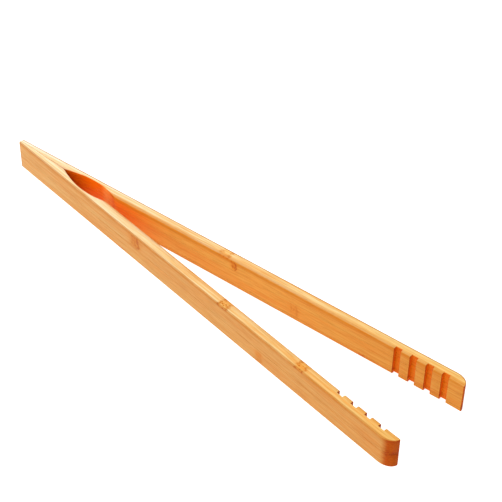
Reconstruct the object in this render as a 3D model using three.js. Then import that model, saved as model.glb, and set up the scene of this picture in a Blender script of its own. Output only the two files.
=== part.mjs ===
// Spring tongs of laminated bamboo, resting on their narrow edges.
//
// Two straight arms are bevelled at the back and glued face to face along the
// centre plane. In front of the glue line each arm is scooped out to a thin
// neck, and that neck is the spring: there is no pin, rivet or metal spring.
// Every arm is sawn from a laminated board, so it is a stack of glued strips
// (plies), and every ply is modelled as its own solids: the stretch in the
// head, the neck that flexes, and the blade that moves.
//
// Frame, millimetres: +X from the head to the tips along the centre plane,
// +Y to the left arm, +Z up across the arm's width, the origin under the
// middle of the object on the surface that it lies on.

import * as THREE from 'three';

// The arm, as sawn
const ARM_LENGTH = 305;
const ARM_THICKNESS = 6.1;
const ARM_WIDTH = 17.5;
const HALF_OPENING = THREE.MathUtils.degToRad(5.25);

// The head: each arm's thickness left at the back end
const BACK_THICKNESS = 1.8;

// The scoop that makes the neck
const SCOOP_BITE = 8.9;
const CROTCH_HALF_ANGLE = THREE.MathUtils.degToRad(19);
const CROTCH_TO_NECK = 19;
const CROTCH_SWEEP = 6;
const NECK_THICKNESS = 2.2;
const NECK_TO_FACE = 22.2;
const NECK_SWEEP = 14;
const FACE_SWEEP = 5;

// The stretch of each arm that flexes, measured from the thinnest point
const FLEX_BEFORE_NECK = 14;
const FLEX_AFTER_NECK = 15;

// The grip grooves, counted from the tip
const GROOVE_COUNT = 4;
const GROOVE_WIDTH = 3.85;
const GROOVE_DEPTH = 2.1;
const GROOVE_PITCH = 9.25;
const TIP_BLOCK = 8.8;

// The rounded outer corner of the tip
const TIP_ROUND_LENGTH = 7.7;
const TIP_LAND = 0.3;

// The board's plies: the left arm is sawn across three of them, the right across two
const FULL_PLY = 8.6;
const LEFT_LOWER_PLY = 2.3;

// Clearances
const GLUE_LINE = 0.1;
const FLEX_SEAM = 0.1;

const CURVE_STEPS = 8;

// Where the two inner faces would part if there were no scoop
const FACES_PART = (ARM_THICKNESS - BACK_THICKNESS * Math.cos(HALF_OPENING)) / Math.sin(HALF_OPENING);

// The crotch, on the glue line, in the tongs' plane
const CROTCH = new THREE.Vector2(FACES_PART - SCOOP_BITE, GLUE_LINE / 2);

// A point of the left arm: station along its outer face, depth inward from it
function onArm(station, depth) {
  const cos = Math.cos(HALF_OPENING);
  const sin = Math.sin(HALF_OPENING);
  return new THREE.Vector2(
    station * cos + depth * sin,
    BACK_THICKNESS + station * sin - depth * cos,
  );
}

// The station and depth of a point in the tongs' plane
function armPlace(point) {
  const cos = Math.cos(HALF_OPENING);
  const sin = Math.sin(HALF_OPENING);
  const offset = point.y - BACK_THICKNESS;
  return new THREE.Vector2(point.x * cos + offset * sin, point.x * sin - offset * cos);
}

const CROTCH_PLACE = armPlace(CROTCH);
const NECK_STATION = CROTCH_PLACE.x + CROTCH_TO_NECK;
const FACE_STATION = NECK_STATION + NECK_TO_FACE;
const FLEX_START = NECK_STATION - FLEX_BEFORE_NECK;
const FLEX_END = NECK_STATION + FLEX_AFTER_NECK;

// From the crotch down to the thinnest point of the neck, in station and depth
function crotchCurve() {
  const slope = Math.tan(CROTCH_HALF_ANGLE - HALF_OPENING);
  return new THREE.CubicBezierCurve(
    CROTCH_PLACE,
    new THREE.Vector2(CROTCH_PLACE.x + CROTCH_SWEEP, CROTCH_PLACE.y - CROTCH_SWEEP * slope),
    new THREE.Vector2(NECK_STATION - CROTCH_SWEEP, NECK_THICKNESS),
    new THREE.Vector2(NECK_STATION, NECK_THICKNESS),
  );
}

// From the neck back up to the arm's full thickness, in station and depth
function returnCurve() {
  return new THREE.CubicBezierCurve(
    new THREE.Vector2(NECK_STATION, NECK_THICKNESS),
    new THREE.Vector2(NECK_STATION + NECK_SWEEP, NECK_THICKNESS),
    new THREE.Vector2(FACE_STATION - FACE_SWEEP, ARM_THICKNESS),
    new THREE.Vector2(FACE_STATION, ARM_THICKNESS),
  );
}

// How far along a curve its station reaches a given value
function shareAt(curve, station) {
  let low = 0;
  let high = 1;
  for (let step = 0; step < 40; step += 1) {
    const middle = (low + high) / 2;
    if (curve.getPoint(middle).x < station) {
      low = middle;
    } else {
      high = middle;
    }
  }
  return (low + high) / 2;
}

// The points of a curve between two shares of it, in the tongs' plane
function curvePoints(curve, from, to) {
  const points = [];
  for (let step = 0; step <= CURVE_STEPS; step += 1) {
    const place = curve.getPoint(THREE.MathUtils.lerp(from, to, step / CURVE_STEPS));
    points.push(onArm(place.x, place.y));
  }
  return points;
}

// The head stretch: back end, outer face, scoop and glue line
function headOutline() {
  const scoop = crotchCurve();
  const end = FLEX_START - FLEX_SEAM / 2;
  return [
    new THREE.Vector2(0, GLUE_LINE / 2),
    new THREE.Vector2(0, BACK_THICKNESS),
    onArm(end, 0),
    ...curvePoints(scoop, shareAt(scoop, end), 0),
  ];
}

// The thin stretch that flexes
function neckOutline() {
  const down = crotchCurve();
  const up = returnCurve();
  const start = FLEX_START + FLEX_SEAM / 2;
  const end = FLEX_END - FLEX_SEAM / 2;
  return [
    onArm(start, 0),
    onArm(end, 0),
    ...curvePoints(up, shareAt(up, end), 0),
    ...curvePoints(down, 1, shareAt(down, start)).slice(1),
  ];
}

// The rounded outer corner, from the outer face to the end face
function tipPoints() {
  const depth = ARM_THICKNESS - TIP_LAND;
  const points = [];
  for (let step = 0; step <= CURVE_STEPS; step += 1) {
    const turn = (Math.PI / 2) * (step / CURVE_STEPS);
    const back = TIP_ROUND_LENGTH * (1 - Math.sin(turn));
    points.push(onArm(ARM_LENGTH - back, depth * (1 - Math.cos(turn))));
  }
  return points;
}

// The grooves sawn across the inner face, from the tip backward
function groovePoints() {
  const points = [];
  for (let groove = 0; groove < GROOVE_COUNT; groove += 1) {
    const front = ARM_LENGTH - TIP_BLOCK - groove * GROOVE_PITCH;
    const back = front - GROOVE_WIDTH;
    points.push(onArm(front, ARM_THICKNESS));
    points.push(onArm(front, ARM_THICKNESS - GROOVE_DEPTH));
    points.push(onArm(back, ARM_THICKNESS - GROOVE_DEPTH));
    points.push(onArm(back, ARM_THICKNESS));
  }
  return points;
}

// The blade: everything in front of the neck
function bladeOutline() {
  const up = returnCurve();
  const start = FLEX_END + FLEX_SEAM / 2;
  return [
    onArm(start, 0),
    ...tipPoints(),
    onArm(ARM_LENGTH, ARM_THICKNESS),
    ...groovePoints(),
    ...curvePoints(up, 1, shareAt(up, start)),
  ];
}

// One solid of a ply: an outline on the left or right of the glue line, raised
function plySolid(outline, side, height) {
  const shape = new THREE.Shape(outline.map((point) => new THREE.Vector2(point.x, side * point.y)));
  return new THREE.ExtrudeGeometry(shape, { depth: height, bevelEnabled: false });
}

const STRETCHES = [
  { name: 'head', outline: headOutline() },
  { name: 'neck', outline: neckOutline() },
  { name: 'blade', outline: bladeOutline() },
];

// What the arm's width leaves of each arm's uppermost ply
const LEFT_UPPER_PLY = ARM_WIDTH - LEFT_LOWER_PLY - FULL_PLY - 2 * GLUE_LINE;
const RIGHT_UPPER_PLY = ARM_WIDTH - FULL_PLY - GLUE_LINE;

// Each arm's plies from the bottom up, with the colour of their bamboo
const ARMS = [
  {
    name: 'left',
    side: 1,
    plies: [
      { name: 'lower_ply', height: LEFT_LOWER_PLY, color: 0xe0995a },
      { name: 'middle_ply', height: FULL_PLY, color: 0xe7ab6a },
      { name: 'upper_ply', height: LEFT_UPPER_PLY, color: 0xf6d195 },
    ],
  },
  {
    name: 'right',
    side: -1,
    plies: [
      { name: 'lower_ply', height: FULL_PLY, color: 0xe4a564 },
      { name: 'upper_ply', height: RIGHT_UPPER_PLY, color: 0xf5cf90 },
    ],
  },
];

// One arm: its plies stacked across the width, a glue line between them
function armGroup(arm) {
  const group = new THREE.Group();
  let base = 0;
  for (const ply of arm.plies) {
    for (const stretch of STRETCHES) {
      const material = new THREE.MeshStandardMaterial({ color: ply.color, roughness: 0.5, metalness: 0 });
      const solid = new THREE.Mesh(plySolid(stretch.outline, arm.side, ply.height), material);
      solid.name = `${arm.name}_${ply.name}_${stretch.name}`;
      solid.position.z = base;
      group.add(solid);
    }
    base += ply.height + GLUE_LINE;
  }
  return group;
}

// The whole tongs, moved back so that the origin is under the middle of their length
const tongs = new THREE.Group();
for (const arm of ARMS) {
  tongs.add(armGroup(arm));
}
tongs.position.x = -onArm(ARM_LENGTH, ARM_THICKNESS).x / 2;

export default tongs;
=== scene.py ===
"""Looks of the laminated bamboo spring tongs, built round their CAD frame.

Each arm is a stack of glued bamboo strips. The frame cuts every strip into a head, a neck
and a blade, because its bodies are rigid. Here each strip is drawn whole, from the back end
through the thin neck to the grooved tip.

Sizes in the classes are millimetres, as on a maker's drawing, and become metres where a
mesh is made. Heights of the strips and the place of the back end come from the frame.
"""

import logging
import math
from collections.abc import Iterator
from dataclasses import dataclass, field
from enum import Enum
from typing import ClassVar, Union

import bmesh
import bpy
from mathutils import Euler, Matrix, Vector


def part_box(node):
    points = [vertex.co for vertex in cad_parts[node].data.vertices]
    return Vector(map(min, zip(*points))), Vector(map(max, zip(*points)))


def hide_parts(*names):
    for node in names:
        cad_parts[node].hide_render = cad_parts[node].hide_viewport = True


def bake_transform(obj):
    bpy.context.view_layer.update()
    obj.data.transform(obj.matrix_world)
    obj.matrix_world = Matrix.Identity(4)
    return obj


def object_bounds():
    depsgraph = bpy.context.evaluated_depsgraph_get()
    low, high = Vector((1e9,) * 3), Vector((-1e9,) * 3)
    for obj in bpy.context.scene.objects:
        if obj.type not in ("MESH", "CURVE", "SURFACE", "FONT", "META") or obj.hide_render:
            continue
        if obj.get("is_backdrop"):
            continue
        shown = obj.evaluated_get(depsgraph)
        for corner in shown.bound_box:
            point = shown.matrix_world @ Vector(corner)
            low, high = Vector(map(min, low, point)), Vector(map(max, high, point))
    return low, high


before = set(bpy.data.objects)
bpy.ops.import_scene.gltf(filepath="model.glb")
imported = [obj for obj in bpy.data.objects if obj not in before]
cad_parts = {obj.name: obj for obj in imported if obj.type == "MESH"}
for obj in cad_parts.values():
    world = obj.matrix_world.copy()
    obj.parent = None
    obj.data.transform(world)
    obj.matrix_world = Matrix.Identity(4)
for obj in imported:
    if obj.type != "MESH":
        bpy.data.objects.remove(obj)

log = logging.getLogger("bamboo_tongs")

MM = 0.001
QUARTER_TURN = math.pi / 2
NOISE_MIDDLE = 0.5

Socket = bpy.types.NodeSocket
Sockets = dict[str, Socket]
Feed = Union[Socket, float, tuple]
Colour = tuple[float, float, float]
Band = tuple[float, float]
Point = tuple[float, float]


class Side(Enum):
    """Which side of the centre plane an arm is on; the value is the sign of its Y."""

    LEFT = 1
    RIGHT = -1


class Tier(Enum):
    """A strip's place in its arm's stack; the value is its part of the node names."""

    LOWER = "lower_ply"
    MIDDLE = "middle_ply"
    UPPER = "upper_ply"


class Face(Enum):
    """The faces of an arm that a bamboo node can show on."""

    OUTER = "outer"
    INNER = "inner"
    TOP = "top"
    BOTTOM = "bottom"


class Kind(Enum):
    """What a socket of a shader effect carries; the value is Blender's name for its type."""

    NUMBER = "NodeSocketFloat"
    VECTOR = "NodeSocketVector"


# ---------------------------------------------------------------- the arm's shape


@dataclass(frozen=True)
class Slice:
    """One cut across an arm, in the arm's own measure.

    Attributes:
        station: Distance from the back end along the outer face.
        outer: Depth at which the wood starts, inward from the outer face.
        inner: Depth at which the wood ends.
        lean: 1 where the cut stands square to the centre plane, 0 where square to the arm.
        arris: Radius of the softened inner long edges there.
    """

    station: float
    outer: float
    inner: float
    lean: float
    arris: float


@dataclass(frozen=True)
class ArmShape:
    """The outline both arms share, seen from above, in millimetres.

    Attributes:
        length: Length of the outer face, back end to tip.
        thickness: Thickness of the sawn board.
        half_opening: Angle between an arm and the centre plane, in radians.
        back_thickness: Thickness that the bevel leaves at the back end.
        glue_line: Width of the gap between the two glued faces.
        scoop_bite: How far back of the faces' parting the scoop starts.
        crotch_half_angle: Angle between the scoop and the centre plane at the crotch, in radians.
        crotch_to_neck: Distance from the crotch to the thinnest point.
        crotch_sweep: How softly the scoop runs out of the crotch and into the neck.
        neck_thickness: Thickness at the thinnest point.
        neck_to_face: Distance from the thinnest point to the full thickness.
        neck_sweep: How softly the scoop leaves the neck.
        face_sweep: How softly it meets the inner face.
        flex_before_neck: Distance back of the thinnest point to where a bending stretch would start; worked
            out but not used.
        flex_after_neck: Distance in front of it to where that stretch would end; worked out but not used.
        groove_count: Number of grip grooves.
        groove_width: Width of a groove.
        groove_depth: Depth of a groove.
        groove_pitch: Distance from one groove to the next.
        tip_block: Length of the block in front of the first groove.
        tip_round_length: Length of the rounded outer corner.
        tip_land: Flat left at the end, beside that corner.
        inner_arris: Radius of the long inner edges of the plain stretch.
        neck_arris: Radius of those edges at the neck.
        sawn_arris: Radius of those edges where the saw came last.
        tip_arris_share: How much of the inner radius is left at the very tip.
        block_edge: Radius of the edges between the inner face and the grooves' walls.
        back_corner: Radius of the outer corner at the back end.
        tip_corner: Radius of the inner corner at the tip.
        head_cuts: Number of cuts in the glued head.
        scoop_cuts: Number of cuts in each half of the scoop.
        easing_cuts: Number of cuts over which the neck's radius sets in.
        tip_cuts: Number of cuts in the rounded tip.
        stride: Distance between the cuts of the plain stretch.
    """

    length: float = 305.0
    thickness: float = 6.1
    half_opening: float = math.radians(5.25)
    back_thickness: float = 1.8
    glue_line: float = 0.1
    scoop_bite: float = 8.9
    crotch_half_angle: float = math.radians(19)
    crotch_to_neck: float = 19.0
    crotch_sweep: float = 6.0
    neck_thickness: float = 2.2
    neck_to_face: float = 22.2
    neck_sweep: float = 14.0
    face_sweep: float = 5.0
    flex_before_neck: float = 14.0
    flex_after_neck: float = 15.0
    groove_count: int = 4
    groove_width: float = 3.85
    groove_depth: float = 2.1
    groove_pitch: float = 9.25
    tip_block: float = 8.8
    tip_round_length: float = 7.7
    tip_land: float = 0.3
    inner_arris: float = 0.9
    neck_arris: float = 0.5
    sawn_arris: float = 0.2
    tip_arris_share: float = 0.4
    block_edge: float = 0.12
    back_corner: float = 0.45
    tip_corner: float = 0.35
    head_cuts: int = 9
    scoop_cuts: int = 14
    easing_cuts: int = 4
    tip_cuts: int = 16
    stride: float = 4.0

    @property
    def cos(self) -> float:
        """Cosine of half the opening angle."""
        return math.cos(self.half_opening)

    @property
    def sin(self) -> float:
        """Sine of half the opening angle."""
        return math.sin(self.half_opening)

    @property
    def glue_end(self) -> Point:
        """The crotch, where the glue line ends.

        Returns:
            Its station and depth.
        """
        x = (self.thickness - self.back_thickness * self.cos) / self.sin - self.scoop_bite
        offset = self.glue_line / 2 - self.back_thickness
        return x * self.cos + offset * self.sin, x * self.sin - offset * self.cos

    @property
    def neck_station(self) -> float:
        """Station of the thinnest point."""
        return self.glue_end[0] + self.crotch_to_neck

    @property
    def scoop_end(self) -> float:
        """Station at which the arm is back at its full thickness."""
        return self.neck_station + self.neck_to_face

    def place(self, station: float, depth: float) -> Point:
        """Where a point of the left arm lies in the tongs' plane.

        Args:
            station: Distance along the outer face.
            depth: Distance inward from the outer face.

        Returns:
            Distance from the back end along the centre plane, and distance out from it.
        """
        x = station * self.cos + depth * self.sin
        y = self.back_thickness + station * self.sin - depth * self.cos
        return x, y

    def station_at(self, cut: Slice, depth: float) -> float:
        """Station that a cut, which may lean, has at a depth."""
        return cut.station - depth * math.tan(self.half_opening) * cut.lean

    def slices(self) -> list[Slice]:
        """Lay out every cut from the back end to the tip.

        Returns:
            The cuts in order.
        """
        cuts = list(self._head())
        cuts += self._scoop()
        cuts += self._plain_stretch()
        cuts += self._grooves()
        cuts += self._tip()
        return cuts

    def _glued_depth(self, station: float, lean: float) -> float:
        """Depth of the glue line on a cut that leans by a given share."""
        rise = self.back_thickness - self.glue_line / 2 + station * self.sin
        return rise / (self.cos + lean * self.sin * self.sin / self.cos)

    def _head(self) -> Iterator[Slice]:
        """Cut the glued head, rounding the back corner first.

        Yields:
            Its cuts.
        """
        for run, drop in reversed(rounding(self.back_corner)):
            yield Slice(run, drop, self._glued_depth(run, 1.0), 1.0, self.sawn_arris)
        end = self.glue_end[0]
        for step in range(1, self.head_cuts):
            station = self.back_corner + (end - self.back_corner) * step / self.head_cuts
            lean = 1 - station / end
            yield Slice(station, 0.0, self._glued_depth(station, lean), lean, self.sawn_arris)

    def _scoop(self) -> Iterator[Slice]:
        """Cut the scoop: down to the neck, then back up to the full thickness.

        Yields:
            Its cuts.
        """
        start, start_depth = self.glue_end
        neck, end = self.neck_station, self.scoop_end
        slope = math.tan(self.crotch_half_angle - self.half_opening)
        down = (
            (start, start_depth),
            (start + self.crotch_sweep, start_depth - self.crotch_sweep * slope),
            (neck - self.crotch_sweep, self.neck_thickness),
            (neck, self.neck_thickness),
        )
        up = (
            (neck, self.neck_thickness),
            (neck + self.neck_sweep, self.neck_thickness),
            (end - self.face_sweep, self.thickness),
            (end, self.thickness),
        )
        for step in range(self.scoop_cuts):
            station, depth = bezier(down, step / self.scoop_cuts)
            ease = min(1.0, step / self.easing_cuts)
            arris = self.sawn_arris + (self.neck_arris - self.sawn_arris) * ease
            yield Slice(station, 0.0, depth, 0.0, arris)
        for step in range(self.scoop_cuts + 1):
            share = step / self.scoop_cuts
            station, depth = bezier(up, share)
            arris = self.neck_arris + (self.inner_arris - self.neck_arris) * share
            yield Slice(station, 0.0, depth, 0.0, arris)

    def _plain_stretch(self) -> Iterator[Slice]:
        """Cut the straight stretch between the scoop and the first groove.

        Yields:
            Its cuts.
        """
        start = self.scoop_end
        end = self.length - self.tip_block - (self.groove_count - 1) * self.groove_pitch
        end -= self.groove_width + self.block_edge
        count = round((end - start) / self.stride)
        for step in range(1, count + 1):
            station = start + (end - start) * step / count
            yield Slice(station, 0.0, self.thickness, 0.0, self.inner_arris)

    def _grooves(self) -> Iterator[Slice]:
        """Cut the grooves, from the head side to the tip side.

        Yields:
            Their cuts.
        """
        floor = self.thickness - self.groove_depth
        edge = rounding(self.block_edge)
        for groove in reversed(range(self.groove_count)):
            front = self.length - self.tip_block - groove * self.groove_pitch
            back = front - self.groove_width
            for run, drop in edge:
                yield Slice(back - run, 0.0, self.thickness - drop, 0.0, self.inner_arris)
            yield Slice(back, 0.0, floor, 0.0, self.sawn_arris)
            yield Slice(front, 0.0, floor, 0.0, self.sawn_arris)
            for run, drop in reversed(edge):
                yield Slice(front + run, 0.0, self.thickness - drop, 0.0, self.inner_arris)

    def _tip(self) -> Iterator[Slice]:
        """Cut the last block, its outer side rounding in to the end.

        Yields:
            Its cuts.
        """
        start = self.length - self.tip_round_length
        round_depth = self.thickness - self.tip_land - self.tip_corner
        for step in range(self.tip_cuts + 1):
            share = step / self.tip_cuts
            turn = QUARTER_TURN * share
            station = start + self.tip_round_length * math.sin(turn)
            outer = round_depth * (1 - math.cos(turn))
            past = max(0.0, station - (self.length - self.tip_corner))
            drop = self.tip_corner - math.sqrt(max(0.0, self.tip_corner**2 - past**2))
            arris = self.inner_arris * (1 - (1 - self.tip_arris_share) * share)
            yield Slice(station, outer, self.thickness - drop, 0.0, arris)


def rounding(radius: float, steps: int = 3) -> list[Point]:
    """A rounded edge as pairs of the run still to go to its end and the drop so far.

    Args:
        radius: Radius of the edge.
        steps: Number of straight pieces it is drawn with.

    Returns:
        Pairs from the untouched face (run radius, drop 0) to the end (run 0, drop radius).
    """
    turns = [QUARTER_TURN * step / steps for step in range(steps + 1)]
    return [(radius * (1 - math.sin(turn)), radius * (1 - math.cos(turn))) for turn in turns]


def bezier(points: tuple[Point, ...], share: float) -> Point:
    """A point of a cubic Bezier curve.

    Args:
        points: Its four control points.
        share: How far along, from 0 to 1.

    Returns:
        The point's two coordinates.
    """
    rest = 1 - share
    weights = (rest**3, 3 * rest**2 * share, 3 * rest * share**2, share**3)
    x = sum(weight * point[0] for weight, point in zip(weights, points))
    y = sum(weight * point[1] for weight, point in zip(weights, points))
    return x, y


# ---------------------------------------------------------------- nodes of a material


@dataclass(frozen=True)
class Port:
    """A named input of a shader effect.

    Attributes:
        name: What the socket is called.
        kind: What it carries.
        value: Its value where nothing is fed in, if it carries a number.
    """

    name: str
    kind: Kind = Kind.NUMBER
    value: float = 0.0


@dataclass(frozen=True)
class Weave:
    """A noise or a scatter of points, drawn out along the fibres.

    Attributes:
        along: Blobs to a millimetre along the arm.
        across: Blobs to a millimetre into the arm and up it.
        detail: How many finer layers lie on the noise.
        roughness: How strong the finer layers are.
    """

    along: float
    across: float
    detail: float = 2.0
    roughness: float = 0.5


@dataclass(frozen=True)
class Layer:
    """A colour that darkens the wood where a mask shows.

    Attributes:
        share: How much of it shows where the mask is full.
        colour: What the wood's colour is multiplied by.
    """

    share: float
    colour: Colour


class Bench:
    """Places nodes in one node tree and wires them."""

    def __init__(self, tree: bpy.types.NodeTree) -> None:
        """Start on an empty tree.

        Args:
            tree: The material's or the group's node tree.
        """
        self.tree = tree
        self.tree.nodes.clear()

    def node(self, kind: str, **settings: object) -> bpy.types.Node:
        """Add a node.

        Args:
            kind: Blender's name for its type.
            **settings: Its properties.

        Returns:
            The new node.
        """
        made = self.tree.nodes.new(kind)
        for name, value in settings.items():
            setattr(made, name, value)
        return made

    def feed(self, socket: Socket, value: Feed) -> None:
        """Wire a socket into an input, or set the input's own value.

        Args:
            socket: The input.
            value: The socket or the value that it gets.
        """
        if isinstance(value, Socket):
            self.tree.links.new(value, socket)
        else:
            socket.default_value = value

    def attribute(self, name: str, output: str = "Vector") -> Socket:
        """A value that the mesh carries, by the attribute's name."""
        return self.node("ShaderNodeAttribute", attribute_name=name).outputs[output]

    def math(self, operation: str, *values: Feed, clamp: bool = False) -> Socket:
        """Calculate with one to three values.

        Args:
            operation: Blender's name for the operation.
            *values: Sockets or numbers.
            clamp: Whether the result is held between 0 and 1.

        Returns:
            The result's socket.
        """
        made = self.node("ShaderNodeMath", operation=operation, use_clamp=clamp)
        for socket, value in zip(made.inputs, values):
            self.feed(socket, value)
        return made.outputs[0]

    def times(self, *values: Feed) -> Socket:
        """Multiply two or more numbers.

        Args:
            *values: Sockets or numbers.

        Returns:
            The product's socket.
        """
        product = values[0]
        for value in values[1:]:
            product = self.math("MULTIPLY", product, value)
        return product

    def gap(self, first: Feed, second: Feed) -> Socket:
        """How far apart two numbers are."""
        return self.math("ABSOLUTE", self.math("SUBTRACT", first, second))

    def ramp(self, value: Feed, low: Feed, high: Feed) -> Socket:
        """Rise smoothly from 0 to 1.

        Args:
            value: The number that is looked at.
            low: Where the rise starts.
            high: Where it ends.

        Returns:
            The result's socket.
        """
        made = self.node("ShaderNodeMapRange", interpolation_type="SMOOTHSTEP")
        self.feed(made.inputs["Value"], value)
        self.feed(made.inputs["From Min"], low)
        self.feed(made.inputs["From Max"], high)
        return made.outputs["Result"]

    def fall(self, value: Feed, low: Feed, high: Feed) -> Socket:
        """Fall smoothly from 1 where the value is low to 0 where it is high."""
        return self.math("SUBTRACT", 1.0, self.ramp(value, low, high))

    def between(self, share: Feed, first: Feed, second: Feed) -> Socket:
        """A number between two others.

        Args:
            share: How much of the second counts.
            first: The number at share 0.
            second: The number at share 1.

        Returns:
            The result's socket.
        """
        made = self.node("ShaderNodeMix", data_type="FLOAT")
        self.feed(made.inputs[0], share)
        self.feed(made.inputs[2], first)
        self.feed(made.inputs[3], second)
        return made.outputs[0]

    def tint(self, share: Feed, first: Feed, second: Feed, blend: str = "MIX") -> Socket:
        """Lay a second colour over a first.

        Args:
            share: How much of the second shows.
            first: The colour below, a socket or red, green and blue.
            second: The colour above.
            blend: Blender's name for the way they mix.

        Returns:
            The mixed colour's socket.
        """
        made = self.node("ShaderNodeMix", data_type="RGBA", blend_type=blend)
        self.feed(made.inputs[0], share)
        for socket, value in zip(made.inputs[6:8], (first, second)):
            self.feed(socket, value if isinstance(value, Socket) else (*value, 1.0))
        return made.outputs[2]

    def darken(self, colour: Socket, mask: Feed, layer: Layer) -> Socket:
        """Darken a colour by a layer where a mask shows."""
        return self.tint(self.times(mask, layer.share), colour, layer.colour, "MULTIPLY")

    def split(self, vector: Socket) -> tuple[Socket, ...]:
        """Take a vector apart.

        Args:
            vector: The vector's socket.

        Returns:
            The sockets of its three parts.
        """
        made = self.node("ShaderNodeSeparateXYZ")
        self.feed(made.inputs[0], vector)
        return tuple(made.outputs)

    def stretch(self, vector: Socket, weave: Weave, shift: Feed) -> Socket:
        """Move a vector by a number along all axes and then scale it to a weave.

        Args:
            vector: The vector's socket.
            weave: The weave, for its scale along and across.
            shift: What is added to each part before the scaling.

        Returns:
            The changed vector's socket.
        """
        moved = self.node("ShaderNodeVectorMath", operation="ADD")
        self.feed(moved.inputs[0], vector)
        self.feed(moved.inputs[1], shift)
        scaled = self.node("ShaderNodeVectorMath", operation="MULTIPLY")
        self.feed(scaled.inputs[0], moved.outputs[0])
        self.feed(scaled.inputs[1], (weave.along, weave.across, weave.across))
        return scaled.outputs[0]

    def noise(self, vector: Socket, weave: Weave, shift: Socket) -> Socket:
        """Soft noise.

        Args:
            vector: Where it is looked up.
            weave: How it is drawn out.
            shift: What sets it apart from other noises.

        Returns:
            The noise's socket, about 0.5 on average.
        """
        made = self.node("ShaderNodeTexNoise")
        self.feed(made.inputs["Vector"], self.stretch(vector, weave, shift))
        self.feed(made.inputs["Scale"], 1.0)
        self.feed(made.inputs["Detail"], weave.detail)
        self.feed(made.inputs["Roughness"], weave.roughness)
        return made.outputs[0]

    def cells(self, vector: Socket, weave: Weave, shift: Socket) -> Socket:
        """Distance from the nearest of scattered points.

        Args:
            vector: Where it is looked up.
            weave: How the points are drawn out.
            shift: What sets them apart from other scatters.

        Returns:
            The distance's socket, 0 at a point and up to about 1.
        """
        made = self.node("ShaderNodeTexVoronoi")
        self.feed(made.inputs["Vector"], self.stretch(vector, weave, shift))
        self.feed(made.inputs["Scale"], 1.0)
        return made.outputs["Distance"]


@dataclass(frozen=True)
class Effect:
    """A shader effect kept as one node group, with named inputs and outputs.

    Attributes:
        name: The group's name.
        ports: Its inputs.
        results: The names of its outputs, all numbers.
    """

    name: ClassVar[str] = ""
    ports: ClassVar[tuple[Port, ...]] = ()
    results: ClassVar[tuple[str, ...]] = ()

    def wire(self, bench: Bench, given: Sockets) -> Sockets:
        """Build the inside of the group.

        Args:
            bench: The bench on the group's tree.
            given: The group's inputs by name.

        Returns:
            The sockets that feed the group's outputs, by name.
        """
        raise NotImplementedError

    def tree(self) -> bpy.types.NodeTree:
        """The group's node tree, built the first time that it is asked for.

        Returns:
            The tree that all materials share.
        """
        known = bpy.data.node_groups.get(self.name)
        if known is not None:
            return known
        tree = bpy.data.node_groups.new(self.name, "ShaderNodeTree")
        for port in self.ports:
            socket = tree.interface.new_socket(name=port.name, in_out="INPUT", socket_type=port.kind.value)
            if port.kind is Kind.NUMBER:
                socket.default_value = port.value
        for result in self.results:
            tree.interface.new_socket(name=result, in_out="OUTPUT", socket_type=Kind.NUMBER.value)
        bench = Bench(tree)
        entry = bench.node("NodeGroupInput")
        leave = bench.node("NodeGroupOutput")
        made = self.wire(bench, {port.name: entry.outputs[port.name] for port in self.ports})
        for result in self.results:
            bench.feed(leave.inputs[result], made[result])
        return tree

    def on(self, bench: Bench, **values: Feed) -> Sockets:
        """Place the effect in a material.

        Args:
            bench: The bench on the material's tree.
            **values: What each input gets, its name in lower case with underscores.

        Returns:
            The effect's outputs by name.
        """
        group = bench.node("ShaderNodeGroup", node_tree=self.tree())
        for port in self.ports:
            key = port.name.lower().replace(" ", "_")
            if key in values:
                bench.feed(group.inputs[port.name], values[key])
        return {result: group.outputs[result] for result in self.results}


def from_skin(bench: Bench, given: Sockets) -> Socket:
    """How far a point lies from its strip's dense skin side.

    Args:
        bench: The bench on a group's tree.
        given: The group's inputs, with Grain, Skin Height and Strip Height.

    Returns:
        The socket of that distance as a share of the strip's height.
    """
    away = bench.gap(bench.split(given["Grain"])[2], given["Skin Height"])
    return bench.math("DIVIDE", away, given["Strip Height"], clamp=True)


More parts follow.
